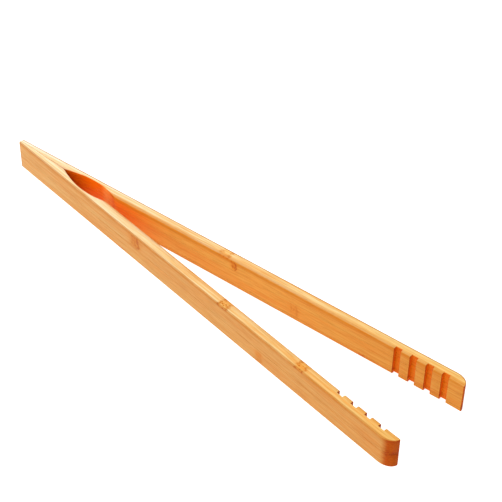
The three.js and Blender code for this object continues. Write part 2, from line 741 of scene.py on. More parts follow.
@dataclass(frozen=True)
class FibreGrain(Effect):
    """Long fibres: soft streaks, dark bundles that crowd towards the skin, and their relief.

    Attributes:
        wander: The noise that bends the fibres aside.
        wander_reach: How far it bends them, in millimetres.
        streak: The broad streaks.
        fine: The finest fibres.
        tone: The slow drift from pale to warm wood.
        bundle: The scatter of the dark bundles.
        bundle_size: Distances from a bundle's middle where it is fully dark and where it ends.
        crowding: How dense the bundles are on the skin side and opposite it.
        fine_relief: How much the fine fibres stand out.
        bundle_relief: How much the bundles sink in.
    """

    name: ClassVar[str] = "fibre_grain"
    ports: ClassVar[tuple[Port, ...]] = (
        Port("Grain", Kind.VECTOR),
        Port("Seed"),
        Port("Skin Height"),
        Port("Strip Height", value=8.0),
    )
    results: ClassVar[tuple[str, ...]] = ("Streak", "Bundle", "Fine", "Tone", "Relief")

    wander: Weave = Weave(0.011, 0.05, detail=1.0)
    wander_reach: float = 2.4
    streak: Weave = Weave(0.012, 0.75, detail=4.0, roughness=0.62)
    fine: Weave = Weave(0.09, 1.7, detail=3.0, roughness=0.65)
    tone: Weave = Weave(0.028, 0.22, roughness=0.6)
    bundle: Weave = Weave(0.022, 1.35)
    bundle_size: Band = (0.1, 0.46)
    crowding: Band = (1.0, 0.35)
    fine_relief: float = 0.6
    bundle_relief: float = 0.5

    def wire(self, bench: Bench, given: Sockets) -> Sockets:
        """Build the inside of the group.

        Args:
            bench: The bench on the group's tree.
            given: The group's inputs by name.

        Returns:
            The sockets that feed the group's outputs, by name.
        """
        grain, seed = given["Grain"], given["Seed"]
        aside = bench.math("SUBTRACT", bench.noise(grain, self.wander, seed), NOISE_MIDDLE)
        shift = bench.math("ADD", seed, bench.times(aside, self.wander_reach))
        fine = bench.noise(grain, self.fine, shift)
        spots = bench.fall(bench.cells(grain, self.bundle, shift), *self.bundle_size)
        bundle = bench.times(spots, bench.between(from_skin(bench, given), *self.crowding))
        raised, sunk = bench.times(fine, self.fine_relief), bench.times(bundle, self.bundle_relief)
        return {
            "Streak": bench.noise(grain, self.streak, shift),
            "Bundle": bundle,
            "Fine": fine,
            "Tone": bench.noise(grain, self.tone, seed),
            "Relief": bench.math("SUBTRACT", raised, sunk),
        }


@dataclass(frozen=True)
class FaceSense(Effect):
    """Which face of the arm a point lies on, and how far it was cut below the board's face.

    Attributes:
        narrow_edge: Distances from a narrow face where it fully counts and where it ends.
        inner_edge: The same for the inner face.
        outer_edge: The same for the outer face.
        cut_edge: The same for a face that was cut below the board's inner face.
        cut_depth: Depths below that face where a cut begins to count and where it fully does.
        tip_bend: Below 1, the colours drift quickly at the head and slowly at the tip.
    """

    name: ClassVar[str] = "face_sense"
    ports: ClassVar[tuple[Port, ...]] = (
        Port("Grain", Kind.VECTOR),
        Port("Depth", Kind.VECTOR),
        Port("Thickness", value=6.0),
        Port("Length", value=300.0),
    )
    results: ClassVar[tuple[str, ...]] = ("Narrow", "Inner", "Outer", "Recess", "Tipward")

    narrow_edge: Band = (0.02, 0.26)
    inner_edge: Band = (0.05, 0.7)
    outer_edge: Band = (0.05, 0.5)
    cut_edge: Band = (0.02, 0.3)
    cut_depth: Band = (0.1, 1.6)
    tip_bend: float = 0.5

    def wire(self, bench: Bench, given: Sockets) -> Sockets:
        """Build the inside of the group.

        Args:
            bench: The bench on the group's tree.
            given: The group's inputs by name.

        Returns:
            The sockets that feed the group's outputs, by name.
        """
        from_outer, from_inner, from_narrow = bench.split(given["Depth"])
        station, depth = bench.split(given["Grain"])[:2]
        below = bench.ramp(bench.math("SUBTRACT", given["Thickness"], depth), *self.cut_depth)
        tipward = bench.math("DIVIDE", station, given["Length"], clamp=True)
        return {
            "Narrow": bench.fall(from_narrow, *self.narrow_edge),
            "Inner": bench.fall(from_inner, *self.inner_edge),
            "Outer": bench.fall(from_outer, *self.outer_edge),
            "Recess": bench.times(below, bench.fall(from_inner, *self.cut_edge)),
            "Tipward": bench.math("POWER", tipward, self.tip_bend),
        }


@dataclass(frozen=True)
class RaggedNode(Effect):
    """What both kinds of bamboo node share: a ragged course across the strip.

    Attributes:
        rag: The noise that makes the course ragged.
        rag_reach: How ragged it is, in half lengths of the node.
        gap: The noise that breaks the lines.
        gap_band: Where that noise leaves a gap and where it leaves a full line.
    """

    results: ClassVar[tuple[str, ...]] = ("Stain", "Line")

    rag: Weave = Weave(0.22, 0.5, detail=3.0)
    rag_reach: float = 1.1
    gap: Weave = Weave(0.1, 0.8, detail=1.0)
    gap_band: Band = (0.32, 0.62)

    def along(self, bench: Bench, given: Sockets) -> Socket:
        """How far along the arm a point lies from the node's ragged middle.

        Args:
            bench: The bench on the group's tree.
            given: The group's inputs, with Grain, Station, Half Length and Seed.

        Returns:
            The distance's socket, in half lengths of the node.
        """
        station = bench.split(given["Grain"])[0]
        away = bench.math("SUBTRACT", station, given["Station"])
        noise = bench.noise(given["Grain"], self.rag, given["Seed"])
        ragged = bench.math("SUBTRACT", noise, NOISE_MIDDLE)
        straight = bench.math("DIVIDE", away, given["Half Length"])
        return bench.math("ADD", straight, bench.times(ragged, self.rag_reach))

    def broken(self, bench: Bench, given: Sockets) -> Socket:
        """A mask that leaves gaps in the lines."""
        return bench.ramp(bench.noise(given["Grain"], self.gap, given["Seed"]), *self.gap_band)


@dataclass(frozen=True)
class NodeLine:
    """One dark line of a bowed node, in half lengths of the node.

    Attributes:
        place: Where it runs, from the node's middle.
        core: Distance from there to where it starts to fade.
        fade: Distance to where it ends.
    """

    place: float
    core: float
    fade: float


@dataclass(frozen=True)
class BowedNode(RaggedNode):
    """A bamboo node sawn along its side: a stained patch crossed by broken, bowed lines.

    Attributes:
        sides: Where the node fades towards the strip's edges, in half heights of the strip.
        patch: Where its stain fades along the arm, in half lengths.
        bow: How far its lines bow at the strip's edges, in half lengths.
        front: The unbroken line on the tip side.
        others: The broken lines behind it.
        others_share: How dark these are against the front line.
    """

    name: ClassVar[str] = "bowed_node"
    ports: ClassVar[tuple[Port, ...]] = (
        Port("Grain", Kind.VECTOR),
        Port("Station"),
        Port("Middle"),
        Port("Half Height", value=4.0),
        Port("Half Length", value=5.0),
        Port("Seed"),
    )

    sides: Band = (0.6, 1.02)
    patch: Band = (0.1, 1.5)
    bow: float = 0.3
    front: NodeLine = NodeLine(0.55, 0.03, 0.3)
    others: tuple[NodeLine, NodeLine] = (NodeLine(-0.35, 0.02, 0.26), NodeLine(0.1, 0.0, 0.2))
    others_share: float = 0.85

    def wire(self, bench: Bench, given: Sockets) -> Sockets:
        """Build the inside of the group.

        Args:
            bench: The bench on the group's tree.
            given: The group's inputs by name.

        Returns:
            The sockets that feed the group's outputs, by name.
        """
        along = self.along(bench, given)
        height = bench.split(given["Grain"])[2]
        off = bench.math("SUBTRACT", height, given["Middle"])
        across = bench.math("DIVIDE", off, given["Half Height"])
        inside = bench.fall(bench.gap(across, 0.0), *self.sides)
        patch = bench.fall(bench.gap(along, 0.0), *self.patch)
        bent = bench.math("ADD", along, bench.times(across, across, self.bow))
        front, back, wisp = (
            bench.fall(bench.gap(bent, line.place), line.core, line.fade)
            for line in (self.front, *self.others)
        )
        others = bench.times(bench.math("MAXIMUM", back, wisp), self.broken(bench, given))
        lines = bench.math("MAXIMUM", front, bench.times(others, self.others_share))
        return {"Stain": bench.times(patch, inside), "Line": bench.times(lines, inside)}


@dataclass(frozen=True)
class SpeckledNode(RaggedNode):
    """A bamboo node sawn flat: a ragged band of short dark specks across the strip.

    Attributes:
        band: Where the band fades along the arm, in half lengths.
        rim: The darker rims of the band, on both sides of its middle.
        rim_share: How dark they are against the specks.
        speck: The scatter of the specks.
        speck_size: Distances from a speck's middle where it is fully dark and where it ends.
    """

    name: ClassVar[str] = "speckled_node"
    ports: ClassVar[tuple[Port, ...]] = (
        Port("Grain", Kind.VECTOR),
        Port("Station"),
        Port("Half Length", value=3.5),
        Port("Seed"),
    )

    rag: Weave = Weave(0.3, 0.6, detail=3.0)
    rag_reach: float = 1.3
    gap: Weave = Weave(0.3, 0.55, detail=1.0)
    gap_band: Band = (0.36, 0.52)
    band: Band = (0.55, 1.25)
    rim: NodeLine = NodeLine(0.75, 0.05, 0.42)
    rim_share: float = 0.6
    speck: Weave = Weave(0.5, 0.8)
    speck_size: Band = (0.18, 0.46)

    def wire(self, bench: Bench, given: Sockets) -> Sockets:
        """Build the inside of the group.

        Args:
            bench: The bench on the group's tree.
            given: The group's inputs by name.

        Returns:
            The sockets that feed the group's outputs, by name.
        """
        distance = bench.gap(self.along(bench, given), 0.0)
        band = bench.fall(distance, *self.band)
        rims = bench.fall(bench.gap(distance, self.rim.place), self.rim.core, self.rim.fade)
        dots = bench.fall(bench.cells(given["Grain"], self.speck, given["Seed"]), *self.speck_size)
        broken = self.broken(bench, given)
        specks = bench.times(dots, band, broken)
        line = bench.math("MAXIMUM", specks, bench.times(rims, broken, self.rim_share))
        return {"Stain": band, "Line": line}


@dataclass(frozen=True)
class ArrisWearAndShade(Effect):
    """Softened long edges: painted shade along the inner ones, broader than the darker line along the outer
    ones, and rubbed in places.

    Attributes:
        waver: The noise that makes the dark lines waver in breadth.
        waver_range: The least and greatest share of their breadth.
        inner_turn: Distances from the inner face where a point fully lies on it and where it does not.
        inner_start: Distance round the inner edge where its painted shade starts to fade.
        inner_reach: Where it ends, on the narrow face and on the inner face.
        tip_share: How much of it is left at the tip.
        outer_turn: The same for the outer face.
        outer_start: Distance round the outer edge where its line starts to fade.
        outer_reach: Where it ends, on the narrow face and on the outer face.
        outer_share: How dark that fading line is against its crisp core.
        crisp_start: Distance round the outer edge where the core starts to fade.
        crisp_reach: Where it ends, on the narrow face and on the outer face.
        patch: The noise that says where the edges are rubbed.
        patch_band: Where that noise leaves an edge alone and where it rubs it fully.
        rub_reach: Distances round an edge where rubbing starts to fade and where it ends.
    """

    name: ClassVar[str] = "arris_wear"
    ports: ClassVar[tuple[Port, ...]] = (
        Port("Grain", Kind.VECTOR),
        Port("Depth", Kind.VECTOR),
        Port("Seed"),
        Port("Thickness", value=6.0),
        Port("Tipward"),
    )
    results: ClassVar[tuple[str, ...]] = ("Rub", "Inner Shade", "Outer Line")

    waver: Weave = Weave(0.05, 0.3)
    waver_range: Band = (0.75, 1.25)
    inner_turn: Band = (0.05, 0.4)
    inner_start: float = 0.45
    inner_reach: Band = (2.9, 3.2)
    tip_share: float = 0.6
    outer_turn: Band = (0.05, 0.3)
    outer_start: float = 0.1
    outer_reach: Band = (1.3, 3.0)
    outer_share: float = 0.5
    crisp_start: float = 0.7
    crisp_reach: Band = (1.05, 1.75)
    patch: Weave = Weave(0.09, 0.8, detail=3.0)
    patch_band: Band = (0.45, 0.7)
    rub_reach: Band = (0.1, 0.8)

    def wire(self, bench: Bench, given: Sockets) -> Sockets:
        """Build the inside of the group.

        Args:
            bench: The bench on the group's tree.
            given: The group's inputs by name.

        Returns:
            The sockets that feed the group's outputs, by name.
        """
        from_outer, from_inner, from_narrow = bench.split(given["Depth"])
        grain, seed = given["Grain"], given["Seed"]
        waver = bench.between(bench.noise(grain, self.waver, seed), *self.waver_range)
        uncut = bench.math("SUBTRACT", given["Thickness"], bench.split(grain)[1])
        round_inner = bench.math("ADD", uncut, from_narrow)
        round_outer = bench.math("ADD", from_outer, from_narrow)
        reach = bench.between(bench.fall(from_inner, *self.inner_turn), *self.inner_reach)
        # Painted shade along the inner edges, under the narrow face.
        inner_shade_line = bench.fall(round_inner, self.inner_start, bench.times(reach, waver))
        inner_shade_line = bench.times(inner_shade_line, bench.between(given["Tipward"], 1.0, self.tip_share))
        on_outer = bench.fall(from_outer, *self.outer_turn)
        reach = bench.times(bench.between(on_outer, *self.outer_reach), waver)
        soft = bench.times(bench.fall(round_outer, self.outer_start, reach), self.outer_share)
        crisp = bench.fall(round_outer, self.crisp_start, bench.between(on_outer, *self.crisp_reach))
        near = bench.fall(bench.math("MINIMUM", round_inner, round_outer), *self.rub_reach)
        rub = bench.times(near, bench.ramp(bench.noise(grain, self.patch, seed), *self.patch_band))
        return {"Rub": rub, "Inner Shade": inner_shade_line, "Outer Line": bench.between(crisp, soft, 1.0)}


@dataclass(frozen=True)
class EndGrain(Effect):
    """Fibres cut across: a mask of the cut faces, their pores, and the dense dark skin side.

    Attributes:
        squareness: How squarely a face cuts the fibres where it starts to count and fully does.
        blotch: The noise that makes the dense side blotchy.
        blotch_band: Where that noise leaves a gap and where it is full.
        dense_side: Where the dense wood fades, as a share of the strip's height from the skin.
        pore: The scatter of the pores.
        pore_size: Distances from a pore's middle where it is fully dark and where it ends.
        pore_share: How dark the pores are against the dense wood.
    """

    name: ClassVar[str] = "end_grain"
    ports: ClassVar[tuple[Port, ...]] = (
        Port("Grain", Kind.VECTOR),
        Port("Cut"),
        Port("Seed"),
        Port("Skin Height"),
        Port("Strip Height", value=8.0),
    )
    results: ClassVar[tuple[str, ...]] = ("Mask", "Pores")

    squareness: Band = (0.06, 0.5)
    blotch: Weave = Weave(0.3, 0.7, detail=3.0)
    blotch_band: Band = (0.3, 0.62)
    dense_side: Band = (0.0, 0.42)
    pore: Weave = Weave(0.05, 1.5)
    pore_size: Band = (0.1, 0.45)
    pore_share: float = 0.6

    def wire(self, bench: Bench, given: Sockets) -> Sockets:
        """Build the inside of the group.

        Args:
            bench: The bench on the group's tree.
            given: The group's inputs by name.

        Returns:
            The sockets that feed the group's outputs, by name.
        """
        grain, seed = given["Grain"], given["Seed"]
        mask = bench.ramp(given["Cut"], *self.squareness)
        blotches = bench.ramp(bench.noise(grain, self.blotch, seed), *self.blotch_band)
        dense = bench.times(bench.fall(from_skin(bench, given), *self.dense_side), blotches)
        dots = bench.fall(bench.cells(grain, self.pore, seed), *self.pore_size)
        pores = bench.math("MAXIMUM", bench.times(dots, self.pore_share), dense)
        return {"Mask": mask, "Pores": bench.times(pores, mask)}


# ---------------------------------------------------------------- finishes


@dataclass(frozen=True)
class NodeMark:
    """A bamboo node that shows on one face of a strip.

    Attributes:
        face: The face it shows on.
        station: Its distance from the back end, in millimetres.
        half_length: Half its length along the arm, in millimetres.
        lines: How dark its lines or specks are, from 0 to 1.
        stain: How stained the wood round it is, from 0 to 1.
    """

    face: Face
    station: float
    half_length: float
    lines: float = 0.8
    stain: float = 0.6


@dataclass(frozen=True)
class Tone:
    """A colour that drifts along the arm.

    Attributes:
        back: The colour at the back end.
        tip: The colour at the tip.
    """

    back: Colour
    tip: Colour

    def along(self, bench: Bench, tipward: Socket) -> Socket:
        """The colour at each point, as a socket."""
        return bench.tint(tipward, self.back, self.tip)


@dataclass(frozen=True)
class Growth:
    """How the bamboo's own growth colours the sawn wood.

    Attributes:
        lines: Separate fibre lines, which only the narrow faces show.
        lines_band: Where the streak noise starts a line and where it is full.
        warm: Warmer stretches.
        warm_band: Where the tone noise starts them and where they are full.
        streaks: Soft streaks.
        streak_band: Where the streak noise starts them and where they are full.
        bundles: Dark bundles of fibres.
        fine: The finest fibres.
        fine_band: Where the fine noise starts them and where they are full.
    """

    lines: Layer = Layer(0.55, (0.97, 0.83, 0.6))
    lines_band: Band = (0.47, 0.57)
    warm: Layer = Layer(0.6, (1.0, 0.82, 0.62))
    warm_band: Band = (0.42, 0.64)
    streaks: Layer = Layer(0.7, (0.98, 0.8, 0.6))
    streak_band: Band = (0.38, 0.62)
    bundles: Layer = Layer(0.6, (0.88, 0.66, 0.42))
    fine: Layer = Layer(0.65, (0.82, 0.73, 0.58))
    fine_band: Band = (0.44, 0.62)

    def over(self, bench: Bench, colour: Socket, fibre: Sockets, narrow: Socket) -> Socket:
        """Lay the growth over a colour.

        Args:
            bench: The bench on the material's tree.
            colour: The plain colour.
            fibre: The parts of the grain.
            narrow: The mask of the narrow faces.

        Returns:
            The grained colour's socket.
        """
        lines = bench.times(bench.ramp(fibre["Streak"], *self.lines_band), narrow)
        colour = bench.darken(colour, lines, self.lines)
        colour = bench.darken(colour, bench.ramp(fibre["Tone"], *self.warm_band), self.warm)
        colour = bench.darken(colour, bench.ramp(fibre["Streak"], *self.streak_band), self.streaks)
        colour = bench.darken(colour, fibre["Bundle"], self.bundles)
        return bench.darken(colour, bench.ramp(fibre["Fine"], *self.fine_band), self.fine)


@dataclass(frozen=True)
class Arrises:
    """How the softened long edges are coloured.

    Attributes:
        inner: Colour of the painted shade along the inner edges, under the narrow faces.
        outer: Colour of the darker line along the outer edges.
        inner_shade_share: How dark that painted shade is, from 0 to 1.
        outer_share: How dark the outer edges are, from 0 to 1.
        rubbed: Colour of rubbed wood.
        rubbed_share: How much of it shows where the edges are rubbed most.
    """

    # Painted shade along the inner edges, under the narrow faces.
    inner: Colour = (0.5, 0.15, 0.003)
    outer: Colour = (0.4, 0.125, 0.006)
    inner_shade_share: float = 0.92
    outer_share: float = 0.66
    rubbed: Colour = (0.86, 0.6, 0.3)
    rubbed_share: float = 0.15

    def over(self, bench: Bench, colour: Socket, edge_wear_and_shade: Sockets) -> Socket:
        """Lay the softened edges over a colour.

        Args:
            bench: The bench on the material's tree.
            colour: The grained colour.
            edge_wear_and_shade: The painted shade of the inner edges, the line of the outer edges and their
                rubbed places.

        Returns:
            The edged colour's socket.
        """
        # Painted shade along the inner edges.
        colour = bench.tint(bench.times(edge_wear_and_shade["Inner Shade"], self.inner_shade_share), colour, self.inner)
        colour = bench.tint(bench.times(edge_wear_and_shade["Outer Line"], self.outer_share), colour, self.outer)
        return bench.tint(bench.times(edge_wear_and_shade["Rub"], self.rubbed_share), colour, self.rubbed)


@dataclass(frozen=True)
class Sheen:
    """How a thin coat of oil leaves the wood: its gloss and its relief.

    Attributes:
        fibres: Roughness between the streaks and on them.
        streak_band: Where the streak noise starts a streak and where it is full.
        sawn: Roughness of wood cut across the fibres.
        rubbed: Roughness of rubbed edges.
        specular: Strength of the wood's own reflection.
        oil: Strength of the oil's reflection, on faces that weren't cut across.
        oil_roughness: Roughness of the oil.
        relief: Strength of the relief.
        relief_height: Height of the relief, in millimetres.
        line_sink: How far the node lines sink in, as a share of that height.
        pore_sink: How far the pores do.
    """

    fibres: Band = (0.42, 0.52)
    streak_band: Band = (0.3, 0.7)
    sawn: float = 0.68
    rubbed: float = 0.34
    specular: float = 0.06
    oil: float = 0.06
    oil_roughness: float = 0.3
    relief: float = 0.35
    relief_height: float = 0.08
    line_sink: float = 0.4
    pore_sink: float = 0.6

    def roughness(self, bench: Bench, streak: Socket, sawn: Socket, rub: Socket) -> Socket:
        """Roughness of the wood at each point.

        Args:
            bench: The bench on the material's tree.
            streak: The streak noise.
            sawn: The mask of the faces cut across.
            rub: The mask of the rubbed edges.

        Returns:
            The roughness' socket.
        """
        rough = bench.between(bench.ramp(streak, *self.streak_band), *self.fibres)
        rough = bench.between(sawn, rough, self.sawn)
        return bench.between(rub, rough, self.rubbed)

    def normal(self, bench: Bench, fibres: Socket, line: Feed, pores: Socket) -> Socket:
        """Normals of the fibres' fine relief.

        Args:
            bench: The bench on the material's tree.
            fibres: The relief of the fibres.
            line: The mask of the node lines.
            pores: The mask of the pores.

        Returns:
            The normal's socket.
        """
        relief = bench.math("SUBTRACT", fibres, bench.times(line, self.line_sink))
        relief = bench.math("SUBTRACT", relief, bench.times(pores, self.pore_sink))
        bump = bench.node("ShaderNodeBump")
        bump.inputs["Strength"].default_value = self.relief
        bump.inputs["Distance"].default_value = self.relief_height * MM
        bench.feed(bump.inputs["Height"], relief)
        return bump.outputs["Normal"]


@dataclass(frozen=True)
class SawnFaces:
    """Colours of the faces that were sawn or cut below the board's face, with painted light and shade on
    some of them.

    Attributes:
        scoop: Colour of the scoop.
        crotch: Painted shade: what the scoop's colour is multiplied by in its back half, deep in the
            crotch.
        crotch_shade_fade: Length over which that painted shade fades out, past the neck.
        slope: Painted highlight: a lighter colour on the slope that leads out of the scoop, where it turns
            towards the light.
        slope_highlight_share: How much of it shows.
        slope_highlight_middle: Where it lies between the neck and the full thickness.
        slope_highlight_reach: Distances from there where it starts to fade and where it ends.
        floor: Colour of the floors of the grooves.
        floor_from: Distances from the scoop's end between which it takes over.
        painted_wall_shading: Colour of the cut fibres on the grooves' walls, made lighter as painted light;
            the right arm's dark one is painted shade.
        painted_wall_share: How much of it shows.
        painted_wall_from: Distance past the neck at which it fully counts.
        end: What cut fibres darken the wood by elsewhere.
        pores: What pores darken it by.
    """

    scoop: Colour = (0.9, 0.19, 0.001)
    # Painted shade deep in the crotch.
    crotch: Layer = Layer(1.0, (0.68, 0.62, 0.6))
    crotch_shade_fade: float = 4.0
    # Painted highlight on the slope out of the scoop.
    slope: Colour = (0.99, 0.44, 0.1)
    slope_highlight_share: float = 0.85
    slope_highlight_middle: float = 0.68
    slope_highlight_reach: Band = (2.5, 8.5)
    floor: Colour = (0.69, 0.17, 0.004)
    floor_from: Band = (20.0, 50.0)
    # Painted light on the grooves' walls, over the cut fibres' own colour.
    painted_wall_shading: Colour = (0.82, 0.14, 0.001)
    painted_wall_share: float = 0.75
    painted_wall_from: float = 6.0
    end: Layer = Layer(1.0, (0.76, 0.29, 0.001))
    pores: Layer = Layer(0.85, (0.66, 0.4, 0.02))

    def below(self, bench: Bench, station: Socket, shape: ArmShape) -> Socket:
        """The colour of the scoop and the grooves' floors, with painted shade deep in the crotch and a
        painted highlight on the slope out of the scoop.

        Args:
            bench: The bench on the material's tree.
            station: Distance along the arm.
            shape: The arm's outline.

        Returns:
            The colour's socket.
        """
        # Painted highlight on the slope out of the scoop, where it turns towards the light.
        middle = shape.neck_station + self.slope_highlight_middle * shape.neck_to_face
        slope_highlight = bench.fall(bench.gap(station, middle), *self.slope_highlight_reach)
        colour = bench.tint(bench.times(slope_highlight, self.slope_highlight_share), self.scoop, self.slope)
        # Painted shade: the scoop darkens towards the crotch.
        back = bench.fall(station, shape.glue_end[0], shape.neck_station + self.crotch_shade_fade)
        colour = bench.darken(colour, back, self.crotch)
        grooved = bench.ramp(station, *(shape.scoop_end + run for run in self.floor_from))
        return bench.tint(grooved, colour, self.floor)

    def over(self, bench: Bench, colour: Socket, end: Sockets, recess: Socket, past_neck: Socket) -> Socket:
        """Lay cut fibres and their pores over a colour, with painted light and shade on the grooves' walls.

        Args:
            bench: The bench on the material's tree.
            colour: The colour so far.
            end: The parts of the end grain.
            recess: The mask of the scoop and the grooves.
            past_neck: The mask of the arm in front of the neck.

        Returns:
            The colour's socket.
        """
        sawn = bench.times(end["Mask"], bench.math("SUBTRACT", 1.0, recess))
        colour = bench.darken(colour, sawn, self.end)
        # Painted light on the grooves' walls; the right arm paints shade there.
        walls = bench.times(end["Mask"], recess, past_neck, self.painted_wall_share)
        colour = bench.tint(walls, colour, self.painted_wall_shading)
        return bench.darken(colour, end["Pores"], self.pores)


@dataclass(frozen=True)
class BambooFinish:
    """Sanded and oiled bamboo, with the tone and the growth of one strip.

    Attributes:
        name: The material's name.
        slot: Not used.
        seed: Sets this strip's own grain apart.
        wide: Colour of the sawn wide face on the outer side.
        inside: Colour of the wide face on the inner side, painted brighter and more orange than the outer
            side's to stand in for the light between the arms.
        inside_bend: Above 1, the inner colour keeps longer to that of the back end.
        narrow: Colour of the flat-sawn narrow face.
        glow: Painted light: a bright orange that the inner face takes near the scoop, for light bounced
            between the arms.
        painted_glow_share: How much of that painted light shows there.
        painted_glow_run: Length over which it fades out past the scoop, in millimetres.
        sawn: Colours of the scoop, the grooves and the cut ends.
        growth: How the bamboo's growth colours it.
        arrises: How its long edges are coloured.
        sheen: Its gloss and relief.
        stain: What stained wood round a bamboo node darkens the colour by.
        line: What the lines and specks of a node darken it by.
        skin_up: Whether the dense skin side of the strip is its upper side.
        marks: The bamboo nodes that show.
        mark_wrap: Distances from a narrow face where its node marks start to fade and end.
        split_share: How high in the strip the marks of its top take over from its underside's.
        split_fade: The height over which they do so, in millimetres.
    """

    # Added to the seed, so that the edges, the cut ends and each node differ from the grain
    WEAR_SEED: ClassVar[float] = 3.0
    END_SEED: ClassVar[float] = 5.0
    MARK_SEED: ClassVar[float] = 11.0

    name: str
    slot: str
    seed: float
    wide: Tone = Tone((0.54, 0.305, 0.104), (0.505, 0.255, 0.067))
    # Painted light: the inner wide face is the same wood as the outer, coloured brighter for the light
    # between the arms.
    inside: Tone = Tone((0.99, 0.53, 0.1), (0.56, 0.24, 0.036))
    inside_bend: float = 1.5
    narrow: Tone = Tone((0.91, 0.9, 0.75), (0.77, 0.48, 0.15))
    # Painted light: bright orange on the inner face near the scoop, for light bounced between the arms.
    glow: Colour = (0.99, 0.22, 0.001)
    painted_glow_share: float = 0.75
    painted_glow_run: float = 45.0
    sawn: SawnFaces = SawnFaces()
    growth: Growth = Growth()
    arrises: Arrises = Arrises()
    sheen: Sheen = Sheen()
    stain: Layer = Layer(0.8, (0.96, 0.66, 0.12))
    line: Layer = Layer(1.0, (0.64, 0.31, 0.01))
    skin_up: bool = True
    marks: tuple[NodeMark, ...] = ()
    mark_wrap: Band = (0.3, 1.5)
    split_share: float = 0.6
    split_fade: float = 0.1

    def material(self, low: float, high: float, shape: ArmShape) -> bpy.types.Material:
        """Make the strip's material.

        Args:
            low: Height of the strip's underside, in millimetres.
            high: Height of its top.
            shape: The arm's outline.

        Returns:
            The finished material.
        """
        made = bpy.data.materials.new(self.name)
        made.use_nodes = True
        bench = Bench(made.node_tree)
        grain, depth = bench.attribute("grain"), bench.attribute("depth")
        skin = {"skin_height": high if self.skin_up else low, "strip_height": high - low}
        fibre = FibreGrain().on(bench, grain=grain, seed=self.seed, **skin)
        sense = FaceSense().on(
            bench,
            grain=grain,
            depth=depth,
            thickness=shape.thickness,
            length=shape.length,
        )
        edge_wear_and_shade = ArrisWearAndShade().on(
            bench,
            grain=grain,
            depth=depth,
            seed=self.seed + self.WEAR_SEED,
            thickness=shape.thickness,
            tipward=sense["Tipward"],
        )
        end = EndGrain().on(
            bench,
            grain=grain,
            cut=bench.attribute("cut", "Fac"),
            seed=self.seed + self.END_SEED,
            **skin,
        )
        stain, line = self._marks(bench, grain, depth, sense, low, high)

        station, recess = bench.split(grain)[0], sense["Recess"]
        past_neck = bench.ramp(station, shape.neck_station, shape.neck_station + self.sawn.painted_wall_from)
        colour = self._faces(bench, station, sense, shape)
        colour = self.growth.over(bench, colour, fibre, sense["Narrow"])
        colour = self.arrises.over(bench, colour, edge_wear_and_shade)
        colour = self.sawn.over(bench, colour, end, recess, past_neck)
        colour = bench.darken(colour, stain, self.stain)
        colour = bench.darken(colour, line, self.line)

        shader = bench.node("ShaderNodeBsdfPrincipled")
        bench.feed(shader.inputs["Base Color"], colour)
        rough = self.sheen.roughness(bench, fibre["Streak"], end["Mask"], edge_wear_and_shade["Rub"])
        bench.feed(shader.inputs["Roughness"], rough)
        normal = self.sheen.normal(bench, fibre["Relief"], line, end["Pores"])
        bench.feed(shader.inputs["Normal"], normal)
        oiled = bench.between(bench.math("MAXIMUM", recess, end["Mask"]), self.sheen.oil, 0.0)
        bench.feed(shader.inputs["Coat Weight"], oiled)
        shader.inputs["Specular IOR Level"].default_value = self.sheen.specular
        shader.inputs["Coat Roughness"].default_value = self.sheen.oil_roughness
        output = bench.node("ShaderNodeOutputMaterial")
        bench.feed(output.inputs["Surface"], shader.outputs[0])
        return made

    def _faces(self, bench: Bench, station: Socket, sense: Sockets, shape: ArmShape) -> Socket:
        """The plain colour of each face, with painted light on the inner face.

        Args:
            bench: The bench on the material's tree.
            station: Distance along the arm.
            sense: The masks of the faces.
            shape: The arm's outline.

        Returns:
            The colour's socket.
        """
        tipward = sense["Tipward"]
        # Painted light: the inner face turns bright orange near the scoop, for light bounced between the
        # arms.
        painted_glow_mask = bench.fall(station, shape.scoop_end, shape.scoop_end + self.painted_glow_run)
        # Painted light: the inner face's colour is a brighter copy of the outer face's.
        inside = self.inside.along(bench, bench.math("POWER", tipward, self.inside_bend))
        inside = bench.tint(bench.times(painted_glow_mask, self.painted_glow_share), inside, self.glow)
        colour = bench.tint(sense["Inner"], self.wide.along(bench, tipward), inside)
        colour = bench.tint(sense["Recess"], colour, self.sawn.below(bench, station, shape))
        return bench.tint(sense["Narrow"], colour, self.narrow.along(bench, tipward))

    def _marks(
        self, bench: Bench, grain: Socket, depth: Socket, sense: Sockets, low: float, high: float
    ) -> tuple[Feed, Feed]:
        """Every node mark of the strip, laid together.

        Args:
            bench: The bench on the material's tree.
            grain: The grain vector.
            depth: The depth vector.
            sense: The masks of the faces.
            low: Height of the strip's underside.
            high: Height of its top.

        Returns:
            How stained and how dark with node lines each point is.
        """
        stain: Feed = 0.0
        line: Feed = 0.0
        half = {"middle": (low + high) / 2, "half_height": (high - low) / 2}
        split = low + self.split_share * (high - low)
        wrap = bench.fall(bench.split(depth)[2], *self.mark_wrap)
        upper = bench.ramp(bench.split(grain)[2], split - self.split_fade, split)
        places = {
            Face.OUTER: sense["Outer"],
            Face.INNER: sense["Inner"],
            Face.TOP: bench.times(wrap, upper),
            Face.BOTTOM: bench.times(wrap, bench.math("SUBTRACT", 1.0, upper)),
        }
        for count, mark in enumerate(self.marks):
            course = {"station": mark.station, "half_length": mark.half_length}
            seed = self.seed + self.MARK_SEED * count
            if mark.face in (Face.OUTER, Face.INNER):
                shown = BowedNode().on(bench, grain=grain, seed=seed, **course, **half)
            else:
                shown = SpeckledNode().on(bench, grain=grain, seed=seed, **course)
            where = places[mark.face]
            stain = bench.math("MAXIMUM", stain, bench.times(shown["Stain"], where, mark.stain))
            line = bench.math("MAXIMUM", line, bench.times(shown["Line"], where, mark.lines))
        return stain, line


# ---------------------------------------------------------------- the strips and arms


